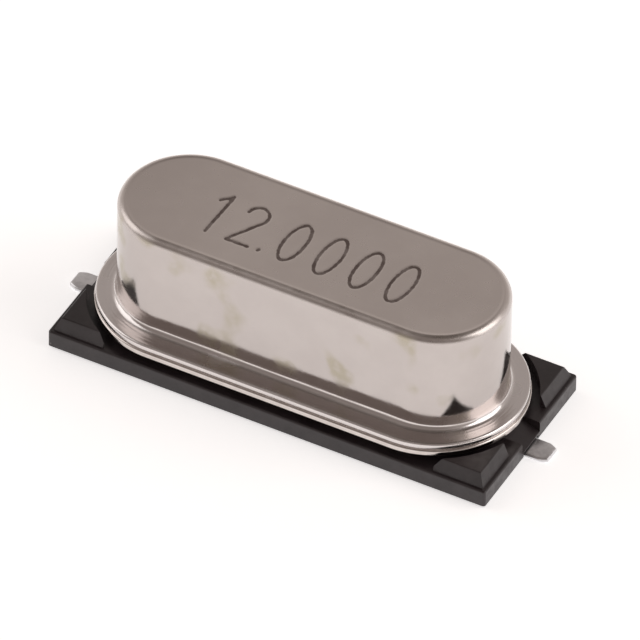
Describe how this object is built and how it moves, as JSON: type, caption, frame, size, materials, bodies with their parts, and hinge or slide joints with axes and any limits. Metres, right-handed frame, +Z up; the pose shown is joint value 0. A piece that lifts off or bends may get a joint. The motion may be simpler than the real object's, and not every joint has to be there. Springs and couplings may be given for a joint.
{
  "type": "crystal resonator",
  "caption": "Surface-mount quartz crystal resonator: oblong metal can welded to a header on a moulded insulator with corner posts, with two flattened leads at the ends.",
  "frame": {"origin": "centre of the footprint, on the plane of the lead undersides that sits on the board", "axes": "+X along the length towards one lead tip, +Z up through the can's top"},
  "size_m": [0.0126, 0.0046, 0.0038],
  "materials": {
    "can": "satin nickel plate",
    "header": "nickel plate",
    "insulator": "moulded black",
    "lead": "tinned",
    "glass": "fused",
    "clip": "bright strip",
    "quartz": "lapped",
    "silver_film": "evaporated silver",
    "adhesive": "silver-filled resin"
  },
  "bodies": {
    "root": {"insulator": "insulator", "can": "can", "header": "header", "glass_seal_right": "glass", "glass_seal_left": "glass", "lead_right": "lead", "lead_left": "lead", "clip_right": "clip", "clip_left": "clip", "quartz_blank": "quartz", "electrode_front": "silver_film", "electrode_back": "silver_film", "adhesive_right": "adhesive", "adhesive_left": "adhesive"}
  },
  "joints": []
}
